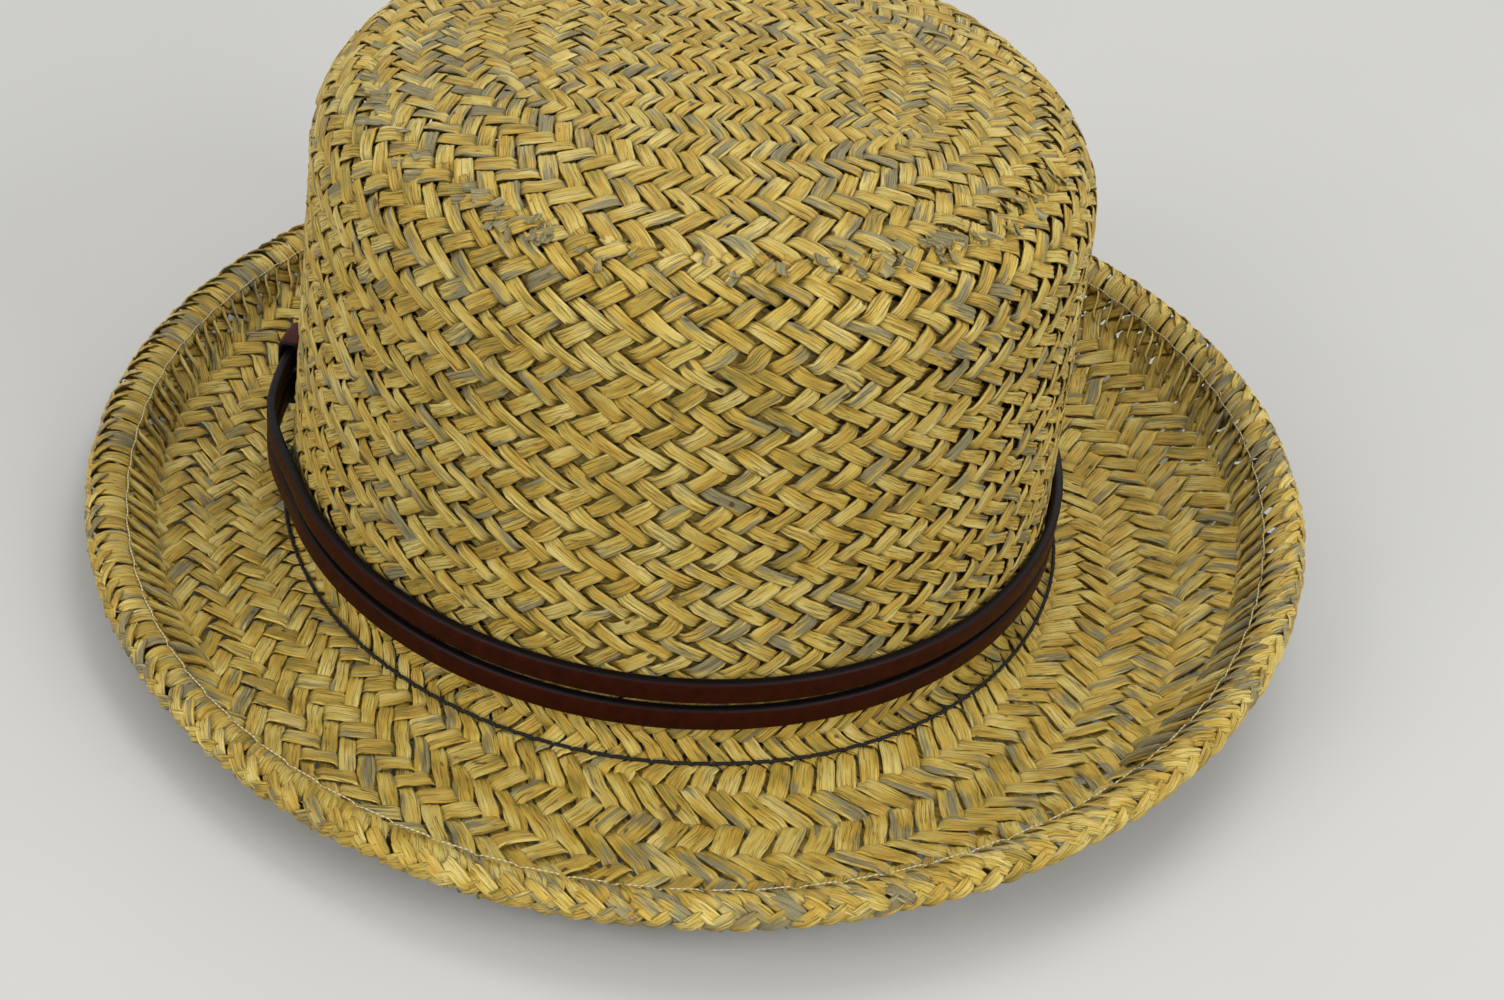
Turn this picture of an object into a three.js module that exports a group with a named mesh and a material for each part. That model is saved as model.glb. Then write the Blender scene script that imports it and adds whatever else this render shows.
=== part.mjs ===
// A woven straw hat with a round crown, an upturned brim, a folded and plaited rim,
// a leather double strap with its keeper, and an inner sweatband.
// Millimetres, +Z up. The origin is on the table, below the middle of the whole hat.
// +Y is the back of the hat. The crown stands a little toward -X, because the brim is wider at +X.
import * as THREE from 'three';

// Crown: an oval wall that leans in slightly, a round shoulder and a low dome.
const CROWN_HALF_WIDTH = 86.6;
const CROWN_HALF_DEPTH = 92.2;
const STRAW_THICKNESS = 2.2;
const WALL_UPRIGHT_HEIGHT = 20;
const WALL_TOP_HEIGHT = 89.6;
const WALL_LEAN = 0.047;
const SHOULDER_RADIUS = 20;
const SPLICE_ANGLE = THREE.MathUtils.degToRad(66);
const DOME_RISE = 6.5;

// Brim: flat where it stands on the table, then curving up to the rim.
const BRIM_HALF_WIDTH = 137;
const BRIM_HALF_DEPTH = 149;
const BRIM_SHIFT = 7;
const BRIM_FILLET = 3;
const BRIM_FLAT_END = 12;
const BRIM_CURL = 1.7;
const RIM_RISE = 11.05;
const RIM_RISE_SIDE = 6;
const RIM_RISE_OVAL = 1.45;

// Rim: the folded hem grips the edge of the brim and a wire, and the braid stands outside it.
const RIM_WIDTH = 8.5;
const HEM_WIDTH = 5.6;
const HEM_LAYER = 1.0;
const WIRE_RADIUS = 0.8;
const BRAID_THICKNESS = 2.6;
const BRAID_HEIGHT = 4.8;
const THREAD_RADIUS = 0.4;
const BASTING_RADIUS = 0.5;
const BASTING_REACH = 4.2;

// Hatband: two straps of one size, one above the other, with their ends in the keeper.
const STRAP_HEIGHT = 6.6;
const STRAP_THICKNESS = 2.2;
const STRAP_BOTTOM = 10.1;
const STRAP_CORNER = 0.7;
const STRAP_STANDOFF = 0.4;
const KEEPER_STANDOFF = 4.0;
const KEEPER_ANGLE = THREE.MathUtils.degToRad(172);
const BULGE_FLAT = THREE.MathUtils.degToRad(13);
const BULGE_END = THREE.MathUtils.degToRad(34);
const KEEPER_WALL = 1.4;
const KEEPER_CLEARANCE = 0.35;
const KEEPER_WIDTH = 9;
const STRAP_JOINT = 1;

// Sweatband: a thin cloth band inside the crown, butted at the back under a tape.
const SWEATBAND_BOTTOM = 1.5;
const SWEATBAND_TOP = 36;
const SWEATBAND_THICKNESS = 1.2;
const SWEATBAND_JOINT = 0.6;
const BACK_ANGLE = THREE.MathUtils.degToRad(90);
const TAPE = { width: 12, bottom: 3, top: 34, thickness: 0.6, angle: BACK_ANGLE };
const LABEL = { width: 12, bottom: 9, top: 27, thickness: 0.5, angle: THREE.MathUtils.degToRad(76) };

const GAP = 0.3;
const RING_STEPS = 60;
const STRAP_STEPS = 60;
const FULL_TURN = 2 * Math.PI;
const MEAN_RADIUS = (CROWN_HALF_WIDTH + CROWN_HALF_DEPTH) / 2;

const COLORS = {
  straw: 0xb39a52,
  straw_edge: 0xbfa65c,
  wire: 0xb8babc,
  clear_thread: 0xcfc6ac,
  black_thread: 0x17151a,
  leather: 0x4a1a12,
  cloth: 0x1d1b1c,
  tape: 0x26221f,
  label: 0xd8d4c8,
};

function material(name, roughness, metalness = 0) {
  return new THREE.MeshStandardMaterial({ color: COLORS[name], roughness, metalness });
}

// ---- Closed solids ----

function signedVolume(geometry) {
  const flat = geometry.index ? geometry.toNonIndexed() : geometry;
  const positions = flat.attributes.position;
  const corners = [new THREE.Vector3(), new THREE.Vector3(), new THREE.Vector3()];
  let volume = 0;
  for (let first = 0; first < positions.count; first += 3) {
    corners.forEach((corner, offset) => corner.fromBufferAttribute(positions, first + offset));
    volume += corners[0].dot(corners[1].clone().cross(corners[2])) / 6;
  }
  return volume;
}

function facingOut(geometry) {
  const flat = geometry.index ? geometry.toNonIndexed() : geometry;
  if (signedVolume(flat) < 0) {
    const positions = flat.attributes.position;
    const before = new THREE.Vector3();
    const after = new THREE.Vector3();
    for (let first = 0; first < positions.count; first += 3) {
      before.fromBufferAttribute(positions, first + 1);
      after.fromBufferAttribute(positions, first + 2);
      positions.setXYZ(first + 1, after.x, after.y, after.z);
      positions.setXYZ(first + 2, before.x, before.y, before.z);
    }
  }
  flat.computeVertexNormals();
  return flat;
}

// A full turn: each profile point keeps its own rule for where it lies at each angle.
function fullTurn(profile, place) {
  const outline = profile.map(([across, up]) => new THREE.Vector2(across, up));
  const geometry = new THREE.LatheGeometry(outline, RING_STEPS);
  const positions = geometry.attributes.position;
  for (let index = 0; index < positions.count; index += 1) {
    const step = Math.floor(index / profile.length) % RING_STEPS;
    const point = place((step / RING_STEPS) * FULL_TURN, profile[index % profile.length]);
    positions.setXYZ(index, point.x, point.y, point.z);
  }
  return facingOut(geometry);
}

function closedLoop(points) {
  return [...points, points[0]];
}

// An open stretch: a shape extruded straight and then bent round the crown, with flat ends.
function bentStretch(shape, startAngle, endAngle, steps, place, curveSegments = 2) {
  const geometry = new THREE.ExtrudeGeometry(shape, { depth: 1, steps, bevelEnabled: false, curveSegments });
  const positions = geometry.attributes.position;
  for (let index = 0; index < positions.count; index += 1) {
    const angle = THREE.MathUtils.lerp(startAngle, endAngle, positions.getZ(index));
    const point = place(angle, [positions.getX(index), positions.getY(index)]);
    positions.setXYZ(index, point.x, point.y, point.z);
  }
  return facingOut(geometry);
}

function roundedRectangle(left, bottom, width, height, corner, Kind = THREE.Shape) {
  const shape = new Kind();
  const quarter = Math.PI / 2;
  const right = left + width;
  const top = bottom + height;
  shape.absarc(right - corner, bottom + corner, corner, -quarter, 0);
  shape.absarc(right - corner, top - corner, corner, 0, quarter);
  shape.absarc(left + corner, top - corner, corner, quarter, 2 * quarter);
  shape.absarc(left + corner, bottom + corner, corner, 2 * quarter, 3 * quarter);
  shape.closePath();
  return shape;
}

// ---- Crown surfaces ----

function ovalPoint(angle, outset, height) {
  return new THREE.Vector3(
    (CROWN_HALF_WIDTH + outset) * Math.cos(angle),
    (CROWN_HALF_DEPTH + outset) * Math.sin(angle),
    height,
  );
}

function wallInset(height) {
  return WALL_LEAN * Math.max(0, height - WALL_UPRIGHT_HEIGHT);
}

// Outset is measured out from the crown wall, which is upright at its foot and leans in above that.
function wallPoint(angle, [outset, height]) {
  return ovalPoint(angle, outset - wallInset(height), height);
}

function shoulderPoint(depth, turn) {
  const radius = SHOULDER_RADIUS - depth;
  const outset = -wallInset(WALL_TOP_HEIGHT) - SHOULDER_RADIUS + radius * Math.cos(turn);
  return [outset, WALL_TOP_HEIGHT + radius * Math.sin(turn)];
}

function shoulderArc(depth, from, to, steps) {
  const turns = Array.from({ length: steps + 1 }, (_, step) => THREE.MathUtils.lerp(from, to, step / steps));
  return turns.map((turn) => shoulderPoint(depth, turn));
}

function crownSide() {
  const bottom = STRAW_THICKNESS + BRIM_FILLET + GAP;
  const wall = [bottom, WALL_UPRIGHT_HEIGHT].map((height) => [-wallInset(height), height]);
  const innerWall = wall.map(([outset, height]) => [outset - STRAW_THICKNESS, height]);
  const outside = [...wall, ...shoulderArc(0, 0, SPLICE_ANGLE, 4)];
  const inside = [...innerWall, ...shoulderArc(STRAW_THICKNESS, 0, SPLICE_ANGLE, 4)];
  const profile = closedLoop([...outside, ...inside.reverse()]);
  return fullTurn(profile, (angle, [outset, height]) => ovalPoint(angle, outset, height));
}

// The tip shrinks to a point, so its stations hold a share of the oval as well as an outset.
function crownTip() {
  const start = SPLICE_ANGLE + GAP / (SHOULDER_RADIUS - STRAW_THICKNESS);
  const domeShares = [1, 0.75, 0.5, 0.25, 0];
  const layer = (depth) => {
    const arc = shoulderArc(depth, start, Math.PI / 2, 2);
    const [edge, foot] = arc[arc.length - 1];
    const dome = domeShares.slice(1).map((share) => [edge, foot + DOME_RISE * (1 - share * share), share]);
    return [...arc.map(([outset, height]) => [outset, height, 1]), ...dome];
  };
  const profile = [...layer(STRAW_THICKNESS).reverse(), ...layer(0)];
  const place = (angle, [outset, height, share]) => {
    const edge = ovalPoint(angle, outset, height);
    return new THREE.Vector3(edge.x * share, edge.y * share, height);
  };
  return fullTurn(profile, place);
}

// ---- Brim surfaces ----

function brimReach(angle) {
  const alongX = BRIM_SHIFT + (BRIM_HALF_WIDTH - CROWN_HALF_WIDTH) * Math.cos(angle);
  const alongY = (BRIM_HALF_DEPTH - CROWN_HALF_DEPTH) * Math.sin(angle);
  return Math.hypot(alongX, alongY);
}

function rimRise(angle) {
  return RIM_RISE + RIM_RISE_SIDE * Math.cos(angle) + RIM_RISE_OVAL * Math.cos(2 * angle);
}

// Distance is measured level, out from the crown wall. The share runs from the crown to the rim.
function brimPoint(angle, distance, height) {
  const share = distance / brimReach(angle);
  return new THREE.Vector3(
    (CROWN_HALF_WIDTH + share * (BRIM_HALF_WIDTH - CROWN_HALF_WIDTH)) * Math.cos(angle) + BRIM_SHIFT * share,
    (CROWN_HALF_DEPTH + share * (BRIM_HALF_DEPTH - CROWN_HALF_DEPTH)) * Math.sin(angle),
    height,
  );
}

// Where the top surface is at a share of the curling stretch, and how steep it is there.
function curlStation(angle, share) {
  const length = brimReach(angle) - RIM_WIDTH - BRIM_FLAT_END;
  const rise = rimRise(angle);
  return {
    distance: BRIM_FLAT_END + share * length,
    height: STRAW_THICKNESS + rise * share ** BRIM_CURL,
    slope: Math.atan((rise / length) * BRIM_CURL * share ** (BRIM_CURL - 1)),
  };
}

function offStation(angle, station, along, up) {
  const { distance, height, slope } = station;
  return brimPoint(
    angle,
    distance + along * Math.cos(slope) - up * Math.sin(slope),
    height + along * Math.sin(slope) + up * Math.cos(slope),
  );
}

// The rim's own frame: along runs outward from the hem's inner edge, and up stands on the brim's top.
function rimPoint(angle, [along, up]) {
  return offStation(angle, curlStation(angle, 1), along, up);
}

function filletStation(turn) {
  return {
    distance: BRIM_FILLET * (1 - Math.cos(turn)),
    height: STRAW_THICKNESS + BRIM_FILLET * (1 - Math.sin(turn)),
    slope: turn - Math.PI / 2,
  };
}

function brim() {
  const tuckEnd = HEM_WIDTH - HEM_LAYER - 2 * WIRE_RADIUS - 2 * GAP;
  const stations = [
    ...[0, 0.5, 1].map((share) => () => filletStation((share * Math.PI) / 2)),
    ...[0, 0.25, 0.5, 0.75, 1].map((share) => (angle) => curlStation(angle, share)),
    (angle) => {
      const edge = curlStation(angle, 1);
      edge.distance += tuckEnd * Math.cos(edge.slope);
      edge.height += tuckEnd * Math.sin(edge.slope);
      return edge;
    },
  ];
  const top = stations.map((station) => [station, 0]);
  const underside = stations.map((station) => [station, -STRAW_THICKNESS]);
  const place = (angle, [station, up]) => offStation(angle, station(angle), 0, up);
  return fullTurn(closedLoop([...top, ...underside.reverse()]), place);
}

function polygonSection(centreAlong, centreUp, halfWidth, halfHeight, sides) {
  const corners = Array.from({ length: sides }, (_, side) => (side / sides) * FULL_TURN);
  return corners.map((turn) => [centreAlong + halfWidth * Math.cos(turn), centreUp + halfHeight * Math.sin(turn)]);
}

function brimHem() {
  const inside = GAP;
  const outside = GAP + HEM_LAYER;
  const fold = HEM_WIDTH - HEM_LAYER;
  const under = -STRAW_THICKNESS;
  return fullTurn(closedLoop([
    [0, under - outside],
    [fold, under - outside],
    [HEM_WIDTH, under - inside],
    [HEM_WIDTH, inside],
    [fold, outside],
    [0, outside],
    [0, inside],
    [fold, inside],
    [fold, under - inside],
    [0, under - inside],
  ]), rimPoint);
}

function brimWire() {
  const centre = HEM_WIDTH - HEM_LAYER - GAP - WIRE_RADIUS;
  const section = polygonSection(centre, -STRAW_THICKNESS / 2, WIRE_RADIUS, WIRE_RADIUS, 6);
  return fullTurn(closedLoop(section), rimPoint);
}

function edgeBraid() {
  const centre = HEM_WIDTH + GAP + BRAID_THICKNESS / 2;
  const middle = -STRAW_THICKNESS / 2 - 0.7;
  const section = polygonSection(centre, middle, BRAID_THICKNESS / 2, BRAID_HEIGHT / 2, 8);
  return fullTurn(closedLoop(section), rimPoint);
}

function hemThread() {
  const up = GAP + HEM_LAYER + GAP + THREAD_RADIUS;
  return fullTurn(closedLoop(polygonSection(1.2, up, THREAD_RADIUS, THREAD_RADIUS, 6)), rimPoint);
}

function sweatbandStitching() {
  const height = STRAW_THICKNESS + GAP + BASTING_RADIUS;
  const section = polygonSection(BASTING_REACH, height, BASTING_RADIUS, BASTING_RADIUS, 6);
  return fullTurn(closedLoop(section), (angle, [distance, up]) => brimPoint(angle, distance, up));
}

// ---- Hatband ----

// Near the keeper the straps stand further off the crown, so that the keeper can pass behind them.
function strapStandoff(angle) {
  const away = Math.abs(Math.atan2(Math.sin(angle - KEEPER_ANGLE), Math.cos(angle - KEEPER_ANGLE)));
  const bulge = 1 - THREE.MathUtils.smoothstep(away, BULGE_FLAT, BULGE_END);
  return THREE.MathUtils.lerp(STRAP_STANDOFF, KEEPER_STANDOFF, bulge);
}

function strapPoint(angle, [across, height]) {
  return ovalPoint(angle, strapStandoff(angle) + across, height);
}

function strap(bottom) {
  const section = roundedRectangle(0, bottom, STRAP_THICKNESS, STRAP_HEIGHT, STRAP_CORNER);
  const halfJoint = STRAP_JOINT / MEAN_RADIUS / 2;
  const start = KEEPER_ANGLE + halfJoint;
  return bentStretch(section, start, start + FULL_TURN - 2 * halfJoint, STRAP_STEPS, strapPoint, 1);
}

function bandKeeper() {
  const clear = KEEPER_CLEARANCE;
  const reach = clear + KEEPER_WALL;
  const stack = 2 * STRAP_HEIGHT + GAP;
  const shape = roundedRectangle(
    -reach, STRAP_BOTTOM - reach, STRAP_THICKNESS + 2 * reach, stack + 2 * reach, KEEPER_WALL);
  shape.holes.push(roundedRectangle(
    -clear, STRAP_BOTTOM - clear, STRAP_THICKNESS + 2 * clear, stack + 2 * clear, clear, THREE.Path));
  const halfWidth = KEEPER_WIDTH / (MEAN_RADIUS + KEEPER_STANDOFF) / 2;
  return bentStretch(shape, KEEPER_ANGLE - halfWidth, KEEPER_ANGLE + halfWidth, 4, strapPoint);
}

// ---- Inside the crown ----

function clothPatch({ width, bottom, top, thickness, angle }, outer, steps) {
  const shape = new THREE.Shape();
  const bend = THREE.MathUtils.clamp(WALL_UPRIGHT_HEIGHT, bottom, top);
  shape.moveTo(outer - thickness, bottom);
  shape.lineTo(outer, bottom);
  shape.lineTo(outer, bend);
  shape.lineTo(outer, top);
  shape.lineTo(outer - thickness, top);
  shape.lineTo(outer - thickness, bend);
  shape.closePath();
  const halfWidth = width / MEAN_RADIUS / 2;
  return bentStretch(shape, angle - halfWidth, angle + halfWidth, steps, wallPoint);
}

const SWEATBAND_OUTER = -STRAW_THICKNESS - GAP;
const PATCH_OUTER = SWEATBAND_OUTER - SWEATBAND_THICKNESS - GAP;

function sweatband() {
  const band = {
    width: MEAN_RADIUS * FULL_TURN - SWEATBAND_JOINT,
    bottom: SWEATBAND_BOTTOM,
    top: SWEATBAND_TOP,
    thickness: SWEATBAND_THICKNESS,
    angle: BACK_ANGLE + Math.PI,
  };
  return clothPatch(band, SWEATBAND_OUTER, RING_STEPS);
}

// ---- Assembly ----

const hat = new THREE.Group();
hat.position.x = -BRIM_SHIFT;

function add(parent, name, geometry, look) {
  const mesh = new THREE.Mesh(geometry, look);
  mesh.name = name;
  parent.add(mesh);
}

const body = new THREE.Group();
add(body, 'crown_tip', crownTip(), material('straw', 0.75));
add(body, 'crown_side', crownSide(), material('straw', 0.75));
add(body, 'brim', brim(), material('straw', 0.75));
add(body, 'brim_hem', brimHem(), material('straw_edge', 0.75));
add(body, 'brim_wire', brimWire(), material('wire', 0.4, 1));
add(body, 'edge_braid', edgeBraid(), material('straw_edge', 0.75));
add(body, 'hem_thread', hemThread(), material('clear_thread', 0.35));
add(body, 'sweatband', sweatband(), material('cloth', 0.9));
add(body, 'sweatband_stitching', sweatbandStitching(), material('black_thread', 0.7));
add(body, 'sweatband_joint_tape', clothPatch(TAPE, PATCH_OUTER, 4), material('tape', 0.85));
add(body, 'size_label', clothPatch(LABEL, PATCH_OUTER, 4), material('label', 0.85));

const hatband = new THREE.Group();
add(hatband, 'lower_strap', strap(STRAP_BOTTOM), material('leather', 0.45));
add(hatband, 'upper_strap', strap(STRAP_BOTTOM + STRAP_HEIGHT + GAP), material('leather', 0.45));
add(hatband, 'band_keeper', bandKeeper(), material('leather', 0.45));

hat.add(body, hatband);

export default hat;
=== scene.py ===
"""A woven straw hat with a double leather strap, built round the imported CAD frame.

Lengths are millimetres while a shape is worked out, and metres once it is a Blender mesh.
Round the crown, an angle of 0 is at +X and 90 degrees is at +Y, the back of the hat.
"""

import math

import bpy
import numpy as np
from mathutils import Matrix, Vector


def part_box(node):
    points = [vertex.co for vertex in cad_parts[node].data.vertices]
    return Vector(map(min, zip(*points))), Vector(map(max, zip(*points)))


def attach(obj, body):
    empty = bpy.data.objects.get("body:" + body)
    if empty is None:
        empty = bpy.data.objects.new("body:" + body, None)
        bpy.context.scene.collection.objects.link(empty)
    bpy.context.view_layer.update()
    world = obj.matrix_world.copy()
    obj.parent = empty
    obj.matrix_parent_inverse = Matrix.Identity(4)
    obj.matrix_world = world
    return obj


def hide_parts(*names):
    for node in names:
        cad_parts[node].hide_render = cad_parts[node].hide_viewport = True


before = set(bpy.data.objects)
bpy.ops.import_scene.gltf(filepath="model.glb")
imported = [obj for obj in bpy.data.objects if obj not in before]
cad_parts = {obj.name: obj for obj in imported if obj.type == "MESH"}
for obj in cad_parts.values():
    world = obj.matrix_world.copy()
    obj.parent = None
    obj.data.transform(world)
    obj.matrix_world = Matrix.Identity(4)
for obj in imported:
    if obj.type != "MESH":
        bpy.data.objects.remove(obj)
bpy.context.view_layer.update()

MM = 0.001
TURN = 2 * math.pi

# Shape of the straw shell, as the CAD has it.
STRAW_THICKNESS = 2.2
UPRIGHT_HEIGHT = 20.0
WALL_LEAN = 0.047
SHOULDER_RADIUS = 20.0
SPLICE_ANGLE = math.radians(66)
DOME_RISE = 6.5
FILLET = 3.0
FLAT_END = 12.0
CURL = 1.7
RIM_WIDTH = 8.5
RIM_RISE = 11.05
RIM_RISE_SIDE = 6.0
RIM_RISE_OVAL = 1.45
KEEPER_ANGLE = math.radians(172)
STRAP_STANDOFF = 0.4
KEEPER_STANDOFF = 4.0
BULGE_FLAT = math.radians(13)
BULGE_END = math.radians(34)

# The weave: strands in each direction round the hat, and rows of floats. A row is one float long.
TIP_PATCH_ROWS = 7
TIP_PATCH_EXTRA = 4
PATCH_HALF = (TIP_PATCH_ROWS + TIP_PATCH_EXTRA, TIP_PATCH_ROWS)
TIP_STRANDS = 4 * sum(PATCH_HALF)
SPIRAL_ROWS = 5.4
TIP_CROWDING = 0.06
PATCH_DETAIL = 4
EASING_PASSES = 1500
SIDE_STRANDS = 78
SIDE_ROW_HEIGHT = 4.35
SIDE_TWIST = 0.165
SIDE_BOTTOM = 13.0
BRIM_STRANDS = 120
FOOT_TRAVEL = 17.5
FOOT_ROW_HEIGHT = 5.0
COLLAR_TOP = 16.0
COLLAR_DROP = COLLAR_TOP - STRAW_THICKNESS - FILLET
FILLET_ARC = FILLET * math.pi / 2
HEM_OVERLAP = 1.0
STEPS_PER_CROSSING = 4

# Rows of floats on the brim, in millimetres of travel: where row BRIM_START_ROW lies, and how high a
# row is. Each is a plain value, what it gains at the right and at the front, and the middle and the
# spread of that front in degrees.
BRIM_START_ROW = 4.25
BRIM_START = (19, 6, 20, -72, 42)
BRIM_ROW_HEIGHT = (5.8, 0.8, 4.7, -80, 38)

# The tip's patch reaches this share of the way to the splice ring, and more at its left and right ends.
PATCH_SHARE = 0.619
PATCH_SHARE_LONG = 0.055

# One strand of leaf: the share of its spacing that it covers and its widest, in each weave; then its
# other measures, how much they vary as a share, its roll in radians, and where between two crossings
# it changes sides.
SIDE_LEAF = (0.86, 4.2)
BRIM_LEAF = (0.9, 4.8)
TIP_LEAF = (0.9, 4.4)
NARROWEST = 2.4
WIDTH_SPREAD = 0.1
CROSSING_PINCH = 0.12
FLOAT_RISE = 0.62
RISE_SPREAD = 0.25
LEAF_HALF_HEIGHT = 0.36
HEIGHT_SPREAD = 0.25
LEAF_ROLL = 0.17
DIVE = (0.22, 0.78)

# How far a strand strays, as a share of the spacing to the next one and of a row.
SIDE_STRAY = (0.09, 0.06)
BRIM_STRAY = (0.07, 0.05)
TIP_STRAY = 0.07

# The rim's ribs, tails and plait, and the threads.
RIM_RIBS = 216
RIM_RIB_HALF_WIDTH = 2.0
RIM_CORE = (4.4, -1.3)
TAIL_RIBS = 132
TAIL_HALF_WIDTH = 1.5
TAIL_SPAN = (math.radians(-42), math.radians(222))
PLAIT_RIBS = 168
PLAIT_HALF_WIDTH = 1.6
HEM_STITCHES = 96
BASTING_STITCHES = 138
BASTING_DISTANCE = 3.0
BASTING_SHIFT = 1.2
BASTING_LIFT = 0.35
BASTING_DIP = 0.4
BASTING_RADIUS = 0.4

# The leather. The edges of each strap stay STRAP_GAP inside its CAD solid.
STRAP_THICKNESS = 2.2
STRAP_GAP = 0.6
STRAP_BEVEL = 0.8
BURNISHED_WIDTH = 0.9
KEEPER_WALL = 1.4
KEEPER_CLEARANCE = 0.35
KEEPER_HALF_WIDTH = 4.5

# The cloth inside the crown. Its edges stay CLOTH_INSET inside its CAD solid.
CLOTH_INSET = 0.1
SWEATBAND_THICKNESS = 1.1
SWEATBAND_OUTSET = -2.55
TRIM_OUTSET = -4.05
TRIM_THICKNESS = 0.4
TRIM_RIB = 0.9
SWEATBAND_JOINT = math.radians(90)

# Camera and its aim from the hat's own middle: lengths in metres, and the lens in millimetres.
CAMERA_DISTANCE = 0.5086
CAMERA_ELEVATION = math.radians(30)
CAMERA_ROLL = math.radians(6.63)
CAMERA_PAN = math.radians(-1.46)
CAMERA_TILT = math.radians(5.34)
CAMERA_TARGET_HEIGHT = 0.0578
CAMERA_LENS = 54.8


def box_mm(node):
    low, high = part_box(node)
    return np.array(low) / MM, np.array(high) / MM


def middle_and_half(node):
    low, high = box_mm(node)
    return (low + high) / 2, (high - low) / 2


SIDE_MIDDLE, SIDE_HALF = middle_and_half("crown_side")
TIP_HALF = middle_and_half("crown_tip")[1]
EDGE_MIDDLE, EDGE_HALF = middle_and_half("edge_braid")
STRAP_LOW, STRAP_HIGH = box_mm("lower_strap")
KEEPER_LOW, KEEPER_HIGH = box_mm("band_keeper")
CROWN_X = SIDE_MIDDLE[0]
CROWN_HALF_WIDTH, CROWN_HALF_DEPTH = SIDE_HALF[:2]
BRIM_SHIFT = EDGE_MIDDLE[0] - CROWN_X
BRIM_HALF_WIDTH, BRIM_HALF_DEPTH = EDGE_HALF[:2]
WALL_TOP = box_mm("crown_tip")[1][2] - DOME_RISE - SHOULDER_RADIUS
STRAP_HEIGHT = STRAP_HIGH[2] - STRAP_LOW[2]
UPPER_STRAP_BOTTOM = box_mm("upper_strap")[0][2]


# ---- Small numeric helpers ----


def smoothstep(value, low, high):
    share = np.clip((value - low) / (high - low), 0, 1)
    return share * share * (3 - 2 * share)


def unit(vectors):
    length = np.linalg.norm(vectors, axis=-1, keepdims=True)
    return vectors / np.maximum(length, 1e-9)


def stack(x, y, z):
    return np.stack(np.broadcast_arrays(x, y, z), axis=-1).astype(float)


# ---- Surfaces of the hat ----
# Each takes an angle and a distance along the hat's profile, and gives a point in millimetres.


def oval(angle, outset, height):
    return stack(
        CROWN_X + (CROWN_HALF_WIDTH + outset) * np.cos(angle),
        (CROWN_HALF_DEPTH + outset) * np.sin(angle),
        height,
    )


def wall_inset(height):
    return WALL_LEAN * np.maximum(0, height - UPRIGHT_HEIGHT)


def side_surface(angle, row):
    """The crown wall and shoulder, by row of floats down from the splice ring."""
    travel = WALL_TOP + SHOULDER_RADIUS * SPLICE_ANGLE - SIDE_ROW_HEIGHT * row
    turn = np.maximum(0, travel - WALL_TOP) / SHOULDER_RADIUS
    height = np.minimum(travel, WALL_TOP) + SHOULDER_RADIUS * np.sin(turn)
    outset = -wall_inset(np.minimum(travel, WALL_TOP)) - SHOULDER_RADIUS * (1 - np.cos(turn))
    return oval(angle, outset, height)


def tip_surface(x_share, y_share):
    """The low dome and the last of the shoulder, by share of the splice ring."""
    reach = np.hypot(x_share, y_share)
    edge = TIP_HALF[0]
    flat = edge - SHOULDER_RADIUS * math.cos(SPLICE_ANGLE)
    across = reach * edge
    cosine = np.clip((across - flat) / SHOULDER_RADIUS, 0, 1)
    shoulder = WALL_TOP + SHOULDER_RADIUS * np.sqrt(1 - cosine**2)
    dome = DOME_RISE * (1 - np.minimum(across / flat, 1) ** 2)
    return stack(CROWN_X + TIP_HALF[0] * x_share, TIP_HALF[1] * y_share, shoulder + dome)


def brim_reach(angle):
    along_x = BRIM_SHIFT + (BRIM_HALF_WIDTH - CROWN_HALF_WIDTH) * np.cos(angle)
    along_y = (BRIM_HALF_DEPTH - CROWN_HALF_DEPTH) * np.sin(angle)
    return np.hypot(along_x, along_y)


def brim_point(angle, distance, height):
    share = distance / brim_reach(angle)
    half_width = CROWN_HALF_WIDTH + share * (BRIM_HALF_WIDTH - CROWN_HALF_WIDTH)
    half_depth = CROWN_HALF_DEPTH + share * (BRIM_HALF_DEPTH - CROWN_HALF_DEPTH)
    return stack(
        CROWN_X + half_width * np.cos(angle) + BRIM_SHIFT * share,
        half_depth * np.sin(angle),
        height,
    )


def rim_rise(angle):
    return RIM_RISE + RIM_RISE_SIDE * np.cos(angle) + RIM_RISE_OVAL * np.cos(2 * angle)


def brim_travel_end(angle):
    return COLLAR_DROP + FILLET_ARC + brim_reach(angle) - RIM_WIDTH - FILLET


def brim_surface(angle, travel):
    """The brim's top: travel runs down the crown's foot, round the fillet, and out to the hem."""
    turn = np.clip(travel - COLLAR_DROP, 0, FILLET_ARC) / FILLET
    out = np.maximum(0, travel - COLLAR_DROP - FILLET_ARC)
    distance = FILLET * (1 - np.cos(turn)) + out
    drop = np.clip(travel, 0, COLLAR_DROP)
    curl_length = brim_reach(angle) - RIM_WIDTH - FLAT_END
    curl = np.maximum(0, (distance - FLAT_END) / curl_length)
    height = COLLAR_TOP - drop - FILLET * np.sin(turn) + rim_rise(angle) * curl**CURL
    return brim_point(angle, distance, height)


def rim_surface(angle, along, up):
    """The rim's own frame: along runs outward from the hem's inner edge, up stands on the brim."""
    length = brim_reach(angle) - RIM_WIDTH - FLAT_END
    rise = rim_rise(angle)
    slope = np.arctan(rise / length * CURL)
    distance = FLAT_END + length + along * np.cos(slope) - up * np.sin(slope)
    height = STRAW_THICKNESS + rise + along * np.sin(slope) + up * np.cos(slope)
    return brim_point(angle, distance, height)


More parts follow.
